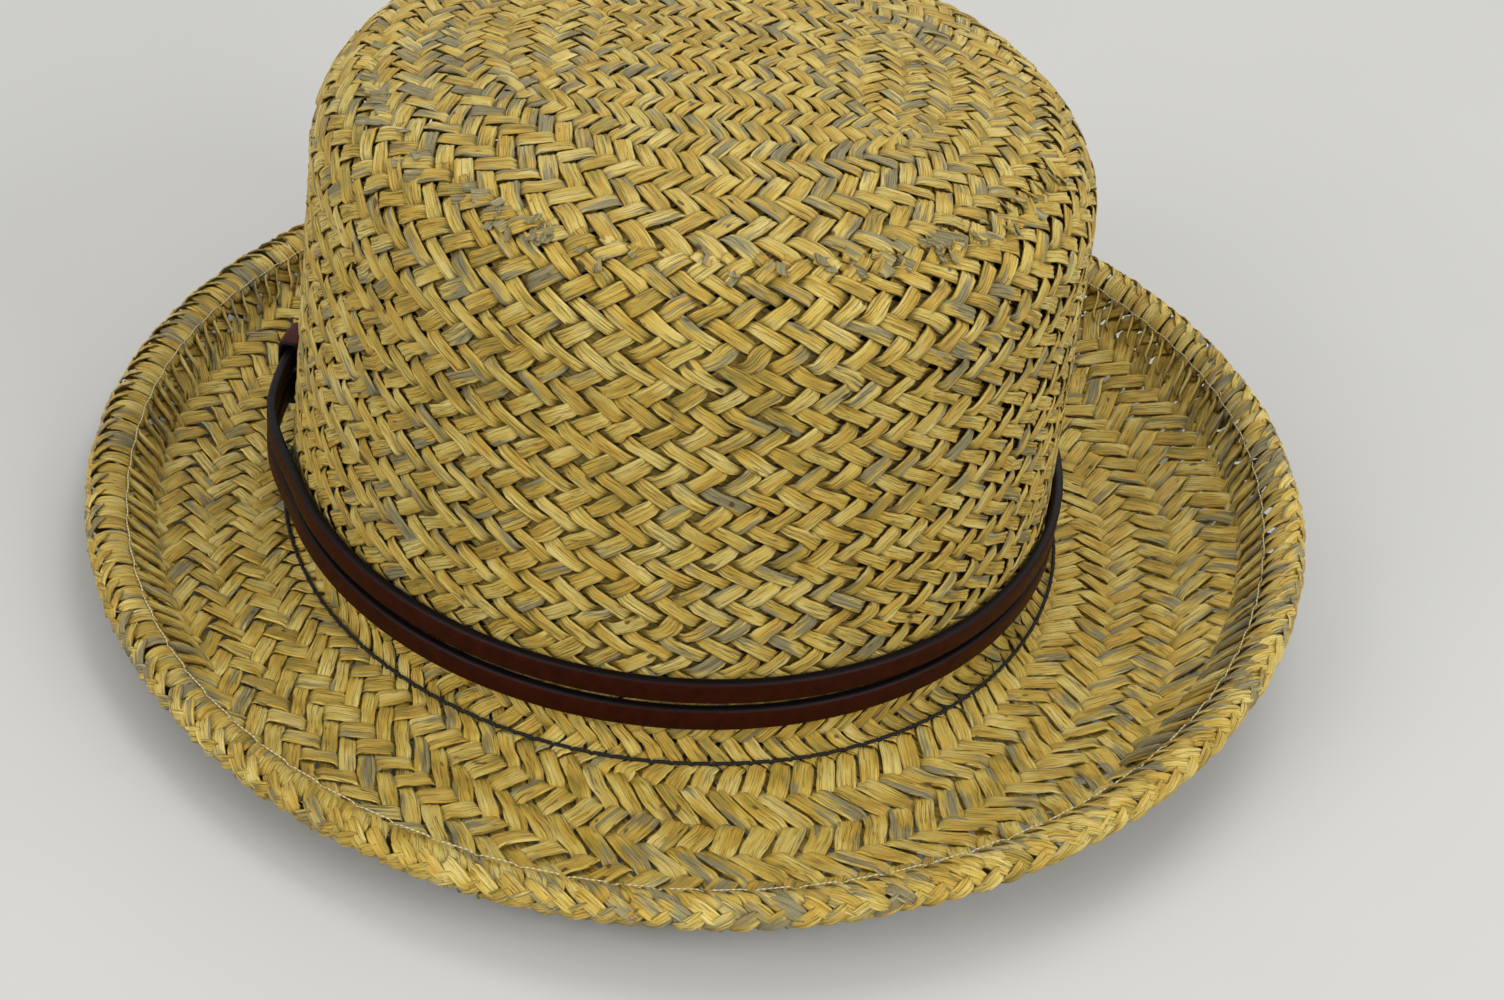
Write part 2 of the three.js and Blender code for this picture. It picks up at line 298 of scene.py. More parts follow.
def strap_standoff(angle):
    away = np.abs(np.angle(np.exp(1j * (angle - KEEPER_ANGLE))))
    bulge = 1 - smoothstep(away, BULGE_FLAT, BULGE_END)
    return STRAP_STANDOFF + bulge * (KEEPER_STANDOFF - STRAP_STANDOFF)


# ---- Meshes from arrays ----


def tube_quads(strands, rings, sides, closed):
    """Quads of a set of tubes, each with the same number of rings and sides."""
    counts = (strands, rings if closed else rings - 1, sides)
    strand, ring, side = np.meshgrid(*map(np.arange, counts), indexing="ij")
    next_ring = (ring + 1) % rings
    next_side = (side + 1) % sides
    base = strand * rings * sides
    corners = [
        base + ring * sides + side,
        base + ring * sides + next_side,
        base + next_ring * sides + next_side,
        base + next_ring * sides + side,
    ]
    return np.stack(corners, axis=-1).reshape(-1, 4)


def tube_ends(strands, rings, sides):
    first = np.arange(sides)
    ends = []
    for strand in range(strands):
        base = strand * rings * sides
        ends.append(base + first[::-1])
        ends.append(base + (rings - 1) * sides + first)
    return ends


def tube_mesh(name, points, attributes, closed=False):
    """A mesh of tubes. The points are in millimetres, strands x rings x sides x 3.

    The attributes are numbers for the points, in any shape that fits the same array. An open tube
    has its ends closed by polygons.
    """
    shape = points.shape[:3]
    quads = tube_quads(*shape, closed)
    ends = [] if closed else tube_ends(*shape)
    mesh = bpy.data.meshes.new(name)
    mesh.vertices.add(points.size // 3)
    mesh.vertices.foreach_set("co", (points * MM).astype(np.float32).ravel())
    sizes = np.concatenate([np.full(len(quads), 4), [len(end) for end in ends]]).astype(np.int32)
    corners = np.concatenate([quads.ravel(), *ends]).astype(np.int32)
    mesh.loops.add(len(corners))
    mesh.loops.foreach_set("vertex_index", corners)
    mesh.polygons.add(len(sizes))
    starts = np.concatenate([[0], np.cumsum(sizes)[:-1]]).astype(np.int32)
    mesh.polygons.foreach_set("loop_start", starts)
    mesh.update(calc_edges=True)
    mesh.validate()
    mesh.polygons.foreach_set("use_smooth", np.full(len(mesh.polygons), True))
    for key, values in attributes.items():
        layer = mesh.attributes.new(key, "FLOAT", "POINT")
        layer.data.foreach_set("value", np.broadcast_to(values, shape).astype(np.float32).ravel())
    piece = bpy.data.objects.new(name, mesh)
    bpy.context.collection.objects.link(piece)
    return piece


# A flat ribbon of leaf: crisp edges, two deep pleats in its top, and a flat underside.
LEAF = np.array(
    [
        (1, -0.1), (0.93, 0.7), (0.74, 0.95), (0.36, 0.5), (0.02, 1),
        (-0.38, 0.48), (-0.74, 0.98), (-0.93, 0.66), (-1, -0.1), (0, -0.6),
    ]
)
ROUND = np.array([(math.cos(turn), math.sin(turn)) for turn in np.arange(6) / 6 * TURN])


def sweep(
    name, centres, normals, half_widths, half_heights, section, raised=None, roll=None, closed=False
):
    """Sweeps a section along many paths at once. centres and normals are strands x rings x 3.

    raised is how high each ring lies in the weave, from -1 to 1; the straw paints shade where it lies low.
    """
    if closed:
        tangents = unit(np.roll(centres, -1, axis=1) - np.roll(centres, 1, axis=1))
    else:
        tangents = unit(np.gradient(centres, axis=1))
    sideways = unit(np.cross(tangents, normals))
    upward = unit(np.cross(sideways, tangents))
    if roll is not None:
        cosine, sine = np.cos(roll)[..., None], np.sin(roll)[..., None]
        sideways, upward = sideways * cosine + upward * sine, upward * cosine - sideways * sine
    across = half_widths[..., None, None] * section[:, 0][:, None] * sideways[..., None, :]
    up = half_heights[..., None, None] * section[:, 1][:, None] * upward[..., None, :]
    steps = np.linalg.norm(np.diff(centres, axis=1, prepend=centres[:, :1]), axis=-1)
    attributes = {
        "across": section[:, 0] * half_widths[..., None],
        "along": np.cumsum(steps, axis=1)[..., None],
        "strand": np.arange(len(centres))[:, None, None],
        "edge": np.abs(section[:, 0]),
    }
    if raised is not None:
        attributes["lift"] = raised[..., None]
    return tube_mesh(name, centres[..., None, :] + across + up, attributes, closed)


# ---- The weave ----
# Two families of slanted strands cross twice in a row. Each goes over two and under two of the other.
# Family 1 runs clockwise on its way out or down, and family -1 runs the other way.


def float_sign(crossing):
    """Whether family 1 is on top, 1 or -1, at a crossing counted from the middle or the top."""
    return np.where(np.mod(np.round(crossing), 4) < 2, 1.0, -1.0)


def float_wave(position, height_at):
    """How high a strand rides, from -1 to 1: level along a float, and steep between two floats."""
    low = np.floor(position)
    before = height_at(low)
    return before + (height_at(low + 1) - before) * smoothstep(position - low, *DIVE)


def smooth_noise(rng, strands, rings, spacing):
    """Random values along each strand, about -1 to 1, that change smoothly over that many rings."""
    where = np.arange(rings) / spacing
    values = rng.uniform(-1, 1, (strands, int(where[-1]) + 2))
    low = where.astype(int)
    share = smoothstep(where - low, 0, 1)
    return values[:, low] * (1 - share) + values[:, low + 1] * share


def lay_strands(name, centres, neighbours, wave, upward, rng, cover, widest, sink=0):
    """Ribbons along the given lines, lifted by their wave and made uneven as real leaf is.

    neighbours are the lines of the next strand over, which give the spacing. upward is 1 or -1.
    """
    strands, rings, _ = centres.shape
    float_rings = 2 * STEPS_PER_CROSSING

    def noise(floats):
        return smooth_noise(rng, strands, rings, floats * float_rings)

    along = np.gradient(centres, axis=1)
    normals = unit(np.cross(along, neighbours - centres)) * upward
    spacing = np.linalg.norm(np.cross(unit(along), neighbours - centres), axis=-1)
    width = np.clip(cover * spacing, NARROWEST, widest) * (1 + WIDTH_SPREAD * noise(1.1))
    half_widths = 0.5 * width * (1 - CROSSING_PINCH * (1 - wave**2))
    lift = wave * FLOAT_RISE * (1 + RISE_SPREAD * noise(1.0)) - STRAW_THICKNESS / 2 - sink
    half_heights = LEAF_HALF_HEIGHT * (1 + HEIGHT_SPREAD * noise(1.5))
    roll = LEAF_ROLL * noise(0.8)
    centres = centres + normals * lift[..., None]
    return sweep(name, centres, normals, half_widths, half_heights, LEAF, wave, roll)


def both_ways(family_of_strands, name, seed):
    """The strands that run each way. Both ways share one run of random draws."""
    rng = np.random.default_rng(seed)
    return [
        family_of_strands(f"{name}_right", 1, rng),
        family_of_strands(f"{name}_left", -1, rng),
    ]


def side_family(name, family, rng):
    last = (WALL_TOP + SHOULDER_RADIUS * SPLICE_ANGLE - SIDE_BOTTOM) / SIDE_ROW_HEIGHT
    rings = int((last + 0.5) * 2 * STEPS_PER_CROSSING) + 1
    row = np.linspace(-0.5, last, rings)[None, :]
    index = np.arange(SIDE_STRANDS)[:, None] + SIDE_STRAY[0] * smooth_noise(rng, SIDE_STRANDS, rings, 5)
    uneven_row = row + SIDE_STRAY[1] * smooth_noise(rng, SIDE_STRANDS, rings, 6)

    def place(index):
        angle = (index - family * row + SIDE_TWIST * row) / SIDE_STRANDS * TURN
        return side_surface(angle, uneven_row)

    wave = np.broadcast_to(family * float_wave(2 * row, float_sign), index.shape)
    sink = 0.5 * smoothstep(row, 0.5, -0.5)
    return lay_strands(name, place(index), place(index + 1), wave, 1, rng, *SIDE_LEAF, sink)


def round_the_brim(angle, plain, right, front, middle, spread):
    """A length that grows towards the brim's right, and in a smooth bump at its front."""
    away = np.degrees(np.angle(np.exp(1j * (angle - math.radians(middle)))))
    return plain + right * np.cos(angle) + front * np.exp(-((away / spread) ** 2))


def brim_row_travel(angle, row):
    """Where a row lies on the brim. The rows are wide at the front and narrow at the sides and back."""
    row_height = round_the_brim(angle, *BRIM_ROW_HEIGHT)
    travel = round_the_brim(angle, *BRIM_START) + row_height * (row - BRIM_START_ROW)
    narrowing = np.minimum(1, FOOT_ROW_HEIGHT / row_height)
    return np.where(travel < FOOT_TRAVEL, FOOT_TRAVEL - (FOOT_TRAVEL - travel) * narrowing, travel)


def brim_family(name, family, rng):
    """Strands from the crown's foot to the hem: each has the rows that the brim has where it runs."""
    lowest, highest, samples_per_row = -4, 13, 32
    fine = np.linspace(lowest, highest, (highest - lowest) * samples_per_row + 1)[None, :]
    index = np.arange(BRIM_STRANDS)[:, None]
    fine_angle = (index - family * fine) / BRIM_STRANDS * TURN
    fine_travel = brim_row_travel(fine_angle, fine)
    on_brim = (fine_travel >= 0) & (fine_travel <= brim_travel_end(fine_angle) + HEM_OVERLAP)
    first = fine[0, np.argmax(on_brim, axis=1)][:, None]
    last = fine[0, on_brim.shape[1] - 1 - np.argmax(on_brim[:, ::-1], axis=1)][:, None]
    rings = int((last - first).max() * 2 * STEPS_PER_CROSSING) + 1
    row = first + (last - first) * np.linspace(0, 1, rings)[None, :]
    uneven_index = index + BRIM_STRAY[0] * smooth_noise(rng, BRIM_STRANDS, rings, 6)
    uneven_row = row + BRIM_STRAY[1] * smooth_noise(rng, BRIM_STRANDS, rings, 7)

    def place(at):
        angle = (at - family * row) / BRIM_STRANDS * TURN
        farthest = brim_travel_end(angle) + 1.2 * HEM_OVERLAP
        return brim_surface(angle, np.minimum(brim_row_travel(angle, uneven_row), farthest))

    wave = family * float_wave(2 * row, float_sign)
    return lay_strands(name, place(uneven_index), place(uneven_index + 1), wave, 1, rng, *BRIM_LEAF)


def patch_angle(slot):
    """Angle on the splice ring of a slot counted from the front left corner of the tip's patch."""
    angle = -math.pi / 2 + (slot - PATCH_HALF[0]) / TIP_STRANDS * TURN
    return angle + TIP_CROWDING * np.sin(2 * angle + math.pi)


def on_front_or_back(x, y):
    """Whether a place on the patch's edge is on its front or back, and not on an end."""
    return np.abs(np.abs(y) - PATCH_HALF[1]) < np.abs(np.abs(x) - PATCH_HALF[0])


def patch_edge_slot(x, y):
    """How far round the patch a place on its edge is, counter-clockwise from the front left corner."""
    half_x, half_y = PATCH_HALF
    front = x + half_x
    right = 2 * half_x + y + half_y
    back = 2 * half_x + 2 * half_y + half_x - x
    left = 4 * half_x + 2 * half_y + half_y - y
    return np.where(on_front_or_back(x, y), np.where(y < 0, front, back), np.where(x > 0, right, left))


def patch_share(angle):
    """How far out the patch reaches, as a share of the splice ring."""
    return PATCH_SHARE + PATCH_SHARE_LONG * np.cos(2 * angle)


def relaxed_patch():
    """The patch's lattice of places: its edge is spaced round a ring, and eased smooth inside."""
    half_x, half_y = PATCH_HALF
    x, y = np.meshgrid(
        np.linspace(-half_x, half_x, 2 * half_x * PATCH_DETAIL + 1),
        np.linspace(-half_y, half_y, 2 * half_y * PATCH_DETAIL + 1),
        indexing="ij",
    )
    angle = patch_angle(patch_edge_slot(x, y))
    ring = np.maximum(np.abs(x) / half_x, np.abs(y) / half_y)
    reach = ring * patch_share(angle)
    lattice = np.stack([reach * np.cos(angle), reach * np.sin(angle)], axis=-1)
    for _ in range(EASING_PASSES):
        neighbours = lattice[2:, 1:-1] + lattice[:-2, 1:-1] + lattice[1:-1, 2:] + lattice[1:-1, :-2]
        lattice[1:-1, 1:-1] = neighbours / 4
    return lattice


def inside_patch(lattice, x, y):
    """The place of a patch coordinate, read from the lattice, and never quite at its last points."""
    inset = 1.001
    column = np.clip((x + PATCH_HALF[0]) * PATCH_DETAIL, 0, lattice.shape[0] - inset)
    row = np.clip((y + PATCH_HALF[1]) * PATCH_DETAIL, 0, lattice.shape[1] - inset)
    low_column, low_row = column.astype(int), row.astype(int)
    x_share, y_share = (column - low_column)[..., None], (row - low_row)[..., None]
    near = lattice[low_column, low_row] * (1 - x_share) + lattice[low_column + 1, low_row] * x_share
    far = lattice[low_column, low_row + 1] * (1 - x_share)
    far = far + lattice[low_column + 1, low_row + 1] * x_share
    return near * (1 - y_share) + far * y_share


def tip_family(name, diagonal, rng):
    """Strands that cross the patch on one diagonal, and spiral out from both of its ends.

    diagonal 1 runs towards the right as it comes to the front, and diagonal -1 is its mirror image.
    """
    half_x, half_y = PATCH_HALF
    lattice = relaxed_patch()
    strands = 2 * half_x + 2 * half_y
    line = (np.arange(strands) - (strands - 1) / 2)[:, None]
    outside = 2 * SPIRAL_ROWS + 0.4
    longest = 2 * half_y + 2 * outside
    samples = int((longest + 4) * STEPS_PER_CROSSING)

    def limits(at):
        low = np.maximum(-2 * half_x - at, at - 2 * half_y)
        high = np.minimum(2 * half_x - at, at + 2 * half_y)
        return low, high

    low, high = limits(line)
    crossing = low - outside + (high - low + 2 * outside) * np.linspace(0, 1, samples)[None, :]

    def place(at):
        low, high = limits(at)
        inner = np.clip(crossing, low, high)
        x, y = (at + inner) / 2, (at - inner) / 2
        beyond = np.abs(crossing - inner) / 2
        slot = patch_edge_slot(x, y) + np.where(on_front_or_back(x, y), beyond, -beyond)
        angle = patch_angle(slot)
        edge = patch_share(angle)
        reach = edge + (1 - edge) * beyond / SPIRAL_ROWS
        spiral = np.stack([reach * np.cos(angle), reach * np.sin(angle)], axis=-1)
        shares = np.where((beyond > 0)[..., None], spiral, inside_patch(lattice, x, y))
        return tip_surface(shares[..., 0], diagonal * shares[..., 1])

    def height_at(where):
        inner = np.clip(where, low, high)
        x, y = (line + inner) / 2, (line - inner) / 2
        beyond = np.abs(where - inner) / 2
        row = np.maximum(np.abs(y), np.maximum(np.abs(x) - TIP_PATCH_EXTRA, 0)) + beyond
        sideways = np.abs(x) - TIP_PATCH_EXTRA > np.abs(y)
        family = np.where(sideways, 1.0, -1.0) * diagonal
        return family * float_sign(2 * row - 1)

    middle_lines = smooth_lines(place(line))
    step = 2 * (smooth_lines(place(line + 0.25)) - smooth_lines(place(line - 0.25)))
    centres = middle_lines + step * TIP_STRAY * smooth_noise(rng, strands, samples, 6)[..., None]
    wave = float_wave(crossing + 0.5, lambda where: height_at(where - 0.5))
    beyond = np.maximum(low - crossing, crossing - high) / 2
    sink = 0.9 * smoothstep(beyond, SPIRAL_ROWS - 0.7, SPIRAL_ROWS)
    return lay_strands(name, centres, centres + step, wave, diagonal, rng, *TIP_LEAF, sink)


def smooth_lines(points):
    """Eases each line of points, and keeps its ends."""
    for _ in range(3):
        points[:, 1:-1] = (points[:, :-2] + 2 * points[:, 1:-1] + points[:, 2:]) / 4
    return points


def splice_ends():
    """Short cut ends that stick out where strands were added round the top, most of them front right."""
    rng = np.random.default_rng(59)
    count, rings = 74, 7
    side = rng.choice([-1.0, 1.0], (count, 1), p=[0.3, 0.7])
    right_middle, left_middle, spread = math.radians(-48), math.radians(-130), 0.42
    angle = np.where(side > 0, right_middle, left_middle) + rng.normal(0, spread, (count, 1))
    share = np.linspace(0, 1, rings)[None, :]
    length = rng.uniform(2.4, 5.2, (count, 1))
    slant = rng.uniform(-1, 1, (count, 1)) * length * share / CROWN_HALF_DEPTH
    row = rng.uniform(-0.6, 0.7, (count, 1)) + 0.6 * length * share / SIDE_ROW_HEIGHT
    centres = side_surface(angle + slant, row)
    outward = unit(side_surface(angle, 2 + 0 * row) - np.array([CROWN_X, 0, 60]))
    lift = 0.2 - 1.6 * (1 - share) + 0.5 * share * rng.uniform(0, 1, (count, 1))
    half_widths = np.broadcast_to(rng.uniform(0.7, 1.4, (count, 1)), (count, rings))
    half_heights = np.full((count, rings), 0.7 * LEAF_HALF_HEIGHT)
    centres = centres + outward * lift[..., None]
    raised = np.ones((count, rings))
    return sweep("splice_ends", centres, outward, half_widths, half_heights, LEAF, raised)


# ---- Rim ----


def rim_ribs(name, path, count, half_width, slant, offset, rng, span=(0, TURN)):
    """Strand ends side by side along the rim. The path is given as along and up, in the rim's frame.

    slant is how far a rib runs along the rim, in millimetres, from the start to the end of its path.
    span is the first and the last angle of the ribs.
    """
    share = np.linspace(0, 1, len(path))
    pitch = (span[1] - span[0]) / count
    start = span[0] + (np.arange(count)[:, None] + offset + rng.uniform(-0.14, 0.14, (count, 1))) * pitch
    run = slant(start) * (1 + rng.uniform(-0.2, 0.2, (count, 1))) / BRIM_HALF_DEPTH
    angle = start + run * (share[None, :] - 0.5)
    along = path[None, :, 0] + rng.uniform(-0.2, 0.2, (count, 1))
    up = path[None, :, 1] + rng.uniform(-0.12, 0.12, (count, 1))
    centres = rim_surface(angle, along, up)
    core = rim_surface(angle, np.full_like(along, RIM_CORE[0]), np.full_like(up, RIM_CORE[1]))
    normals = unit(centres - core)
    taper = 1 - 0.45 * np.abs(2 * share - 1) ** 3
    half_widths = half_width * taper * (1 + rng.uniform(-0.15, 0.15, (count, 1)))
    half_heights = np.full(half_widths.shape, LEAF_HALF_HEIGHT)
    # The ribs' ends are given as low in the weave, so the straw paints shade on them where they tuck
    # under.
    raised = np.broadcast_to(1 - 1.3 * np.abs(2 * share - 1) ** 3, half_widths.shape)
    return sweep(name, centres, normals, half_widths, half_heights, LEAF, raised)


def curve_through(points, steps):
    """More points along a broken line, so that a wide leaf bends evenly."""
    points = np.array(points, float)
    where = np.linspace(0, len(points) - 1, steps)
    columns = [np.interp(where, np.arange(len(points)), points[:, column]) for column in (0, 1)]
    return np.stack(columns, axis=-1)


def folded_edge():
    """The strand ends, folded over the rim: ribs on top and below, and a plait round the very edge.

    At the sides and the back, the ends run on inward past the thread as slanted tails.
    """
    rng = np.random.default_rng(41)
    top = curve_through([(-0.6, -0.2), (0.9, 0.8), (2.8, 1.25), (4.6, 1.3), (6.2, 0.95), (7.4, 0.1)], 9)
    upper = curve_through([(5.6, 0.6), (6.9, 0.75), (8.0, 0.1), (8.5, -0.9), (8.3, -1.9)], 9)
    lower = curve_through([(8.0, -0.7), (8.6, -1.5), (8.3, -2.5), (7.4, -3.2), (6.0, -3.4)], 9)
    tails = curve_through([(-6.6, -0.5), (-5.4, 0.5), (-2.6, 0.75), (-0.4, 0.55), (0.8, -0.1)], 9)
    below = curve_through([(7.4, -2.6), (6.8, -3.6), (4.6, -3.9), (2.0, -3.5), (-0.6, -2.7)], 9)

    def top_slant(angle):
        return 1.6 + 2.6 * smoothstep(np.cos(angle + math.radians(50)), -0.4, 0.7)

    def tail_slant(angle):
        return 9 * np.cos(angle)

    return [
        rim_ribs("folded_hem_top", top, RIM_RIBS, RIM_RIB_HALF_WIDTH, top_slant, 0.0, rng),
        rim_ribs("edge_plait_upper", upper, PLAIT_RIBS, PLAIT_HALF_WIDTH, lambda angle: 7.0, 0.5, rng),
        rim_ribs("edge_plait_lower", lower, PLAIT_RIBS, PLAIT_HALF_WIDTH, lambda angle: -7.0, 0.0, rng),
        rim_ribs("hem_tails", tails, TAIL_RIBS, TAIL_HALF_WIDTH, tail_slant, 0.0, rng, TAIL_SPAN),
        rim_ribs("folded_hem_under", below, RIM_RIBS, RIM_RIB_HALF_WIDTH, lambda angle: 3.2, 0.25, rng),
    ]


def loose_fibres():
    """A few hair-thin fibres that stand out from the rim."""
    rng = np.random.default_rng(53)
    count, rings = 42, 12
    angle = rng.uniform(0, TURN, (count, 1))
    share = np.linspace(0, 1, rings)[None, :]
    length = rng.uniform(3, 9, (count, 1))
    sideways = rng.uniform(-1, 1, (count, 1)) * length * share
    outward = 6.8 + 0.42 * length * share - 0.35 * length * share**2
    up = rng.uniform(-2.0, 0.8, (count, 1)) + rng.uniform(-1.2, 1.2, (count, 1)) * share**2
    centres = rim_surface(angle + sideways / BRIM_HALF_DEPTH, outward, up)
    normals = np.broadcast_to([0.0, 0.0, 1.0], centres.shape)
    half = np.broadcast_to(0.11 * (1 - 0.6 * share), (count, rings))
    return sweep("loose_fibres", centres, normals, half, half, ROUND, np.ones((count, rings)))


def hem_thread():
    """Clear thread that holds the fold, with a long stitch on top and a short one below."""
    stitches = HEM_STITCHES
    rings = stitches * 6
    angle = np.arange(rings)[None, :] / rings * TURN
    height = 1.55 - 0.5 * np.maximum(0, np.cos(stitches * angle)) ** 6
    along = 1.1 + 0.35 * np.sin(7 * angle) + 0.15 * np.sin(stitches * angle)
    centres = rim_surface(angle, along, height)
    up = rim_surface(angle, along, height + 1) - centres
    half = np.full((1, rings), 0.14)
    return sweep("clear_hem_thread", centres, unit(up), half, half, ROUND, closed=True)


def basting_stitches():
    """Black running stitches that hold the sweatband, round the foot of the crown."""
    stitches = BASTING_STITCHES
    rings = stitches * 8
    angle = np.arange(rings)[None, :] / rings * TURN
    rng = np.random.default_rng(47)
    wander = smooth_noise(rng, 1, rings, rings / 40)
    distance = BASTING_DISTANCE + BASTING_SHIFT * np.cos(angle) + 0.15 * wander
    fillet_inset = np.clip(FILLET - distance, 0, FILLET)
    fillet_rise = FILLET - np.sqrt(FILLET**2 - fillet_inset**2)
    dips = BASTING_DIP * np.maximum(0, np.cos(stitches * angle)) ** 12
    centres = brim_point(angle, distance, STRAW_THICKNESS + BASTING_LIFT + fillet_rise - dips)
    up = np.broadcast_to([0.0, 0.0, 1.0], centres.shape)
    half = np.full((1, rings), BASTING_RADIUS)
    return sweep("basting_stitches", centres, up, half, half, ROUND, closed=True)


# ---- Leather ----


def rounded_outline(width, height, radius):
    """A rectangle with rounded corners, from its lower inner corner, as pairs of across and up."""
    corners = [
        (width - radius, radius, -90),
        (width - radius, height - radius, 0),
        (radius, height - radius, 90),
        (radius, radius, 180),
    ]
    outline = []
    for across, up, start in corners:
        for turn in (0, 22.5, 45, 67.5, 90):
            radians = math.radians(start + turn)
            outline.append((across + radius * math.cos(radians), up + radius * math.sin(radians)))
    return np.array(outline)


def strap(name, bottom):
    """A leather strip round the crown, with rounded and burnished edges, and its ends butted."""
    rings = 240
    joint = 0.5 / CROWN_HALF_DEPTH
    angle = KEEPER_ANGLE + np.linspace(joint, TURN - joint, rings)[:, None]
    height = STRAP_HEIGHT - 2 * STRAP_GAP
    outline = rounded_outline(STRAP_THICKNESS, height, STRAP_BEVEL)
    outer = outline[:, 0] > STRAP_THICKNESS / 2
    bulge = 0.12 * np.sin(np.pi * outline[:, 1] / height) * outer
    rng = np.random.default_rng(len(name))
    waver = smooth_noise(rng, 1, rings, 20)[0][:, None]
    outset = strap_standoff(angle) + outline[:, 0] + bulge + 0.1 * waver
    points = oval(angle, outset, bottom + STRAP_GAP + outline[:, 1] + 0.1 * waver)
    from_edge = np.minimum(outline[:, 1], height - outline[:, 1])
    attributes = {
        "across": outline[:, 1],
        "along": angle * CROWN_HALF_DEPTH,
        "strand": bottom,
        "edge": 1 - np.clip(from_edge / BURNISHED_WIDTH, 0, 1),
    }
    return tube_mesh(name, points[None], attributes)


def keeper():
    """The leather loop that the straps run through."""
    inner = -KEEPER_CLEARANCE - KEEPER_WALL
    outer = STRAP_THICKNESS + KEEPER_CLEARANCE + KEEPER_WALL
    bottom, top = KEEPER_LOW[2], KEEPER_HIGH[2]
    turn = np.arange(48) / 48 * TURN
    squareness = 6
    shrink = np.abs(np.cos(turn)) ** squareness + np.abs(np.sin(turn)) ** squareness
    outline = np.stack([np.cos(turn), np.sin(turn)], axis=-1) * shrink[:, None] ** (-1 / squareness)
    quarter_turns = np.linspace(-math.pi / 2, math.pi / 2, 13)
    position = KEEPER_HALF_WIDTH * np.sin(quarter_turns)
    depth = KEEPER_WALL / 2 * np.maximum(0, np.cos(quarter_turns)) ** 0.35
    position = np.concatenate([position, position[-2:0:-1]])
    inset = KEEPER_WALL / 2 - np.concatenate([depth, -depth[-2:0:-1]])
    angle = (KEEPER_ANGLE + position / (CROWN_HALF_WIDTH + KEEPER_STANDOFF))[:, None]
    across = (inner + outer) / 2 + outline[:, 0] * ((outer - inner) / 2 - inset[:, None])
    up = (bottom + top) / 2 + outline[:, 1] * ((top - bottom) / 2 - inset[:, None])
    points = oval(angle, strap_standoff(angle) + across, up)
    near_edge = np.abs(position)[:, None] / KEEPER_HALF_WIDTH
    attributes = {
        "across": position[:, None],
        "along": turn * 6,
        "strand": 3.0,
        "edge": np.clip((near_edge - 0.8) / 0.2, 0, 1),
    }
    return tube_mesh("leather_keeper", points[None], attributes, closed=True)


# ---- Cloth inside the crown ----


def inner_cloth(name, span, node, outset, thickness):
    """A strip of cloth inside the crown, between two angles, and its flat size in metres."""
    low, high = box_mm(node)
    start, end = span
    height = high[2] - low[2] - 2 * CLOTH_INSET
    outline = rounded_outline(thickness, height, 0.45 * thickness)
    rings = max(12, int((end - start) * 60))
    angle = np.linspace(start, end, rings)[:, None]
    rng = np.random.default_rng(61)
    waver = 0.05 * smooth_noise(rng, 1, rings, 9)[0][:, None]
    points = oval(angle, outset - thickness + outline[:, 0] + waver, low[2] + CLOTH_INSET + outline[:, 1])
    piece = tube_mesh(name, points[None], {})
    middle = oval(angle[:, 0], outset - thickness / 2, 0)
    length = np.linalg.norm(np.diff(middle, axis=0), axis=1).sum()
    return piece, (height * MM, float(length) * MM)


def node_angles(node):
    """The two angles that a small node on the inside of the crown's back lies between."""
    low, high = box_mm(node)
    reach = CROWN_HALF_DEPTH + TRIM_OUTSET
    ends = [math.acos((x - CROWN_X) / (CROWN_HALF_WIDTH + TRIM_OUTSET)) for x in (high[0], low[0])]
    inset = 2 * CLOTH_INSET / reach
    return (ends[0] + inset, ends[1] - inset)


# ---- Materials ----

# Colours, linear: first of the straw, and then of the leather.
STRAW = (0.51, 0.37, 0.076)
PALE = (0.59, 0.47, 0.16)
AMBER = (0.45, 0.28, 0.036)
OLIVE = (0.29, 0.215, 0.035)
GREY = (0.17, 0.165, 0.108)
# The leaf's dark fibres, and also the colour of the painted shade in creases, where strands dive under and
# along their edges.
DARK_FIBRE_AND_SHADE = (0.12, 0.073, 0.007)
FIBRE_LIGHT = (0.69, 0.6, 0.31)
KNOT = (0.06, 0.028, 0.01)
STRAP_FACE = (0.017, 0.002, 0.0006)
KEEPER_FACE = (0.036, 0.0026, 0.0006)
BURNISHED = (0.0032, 0.0016, 0.0022)


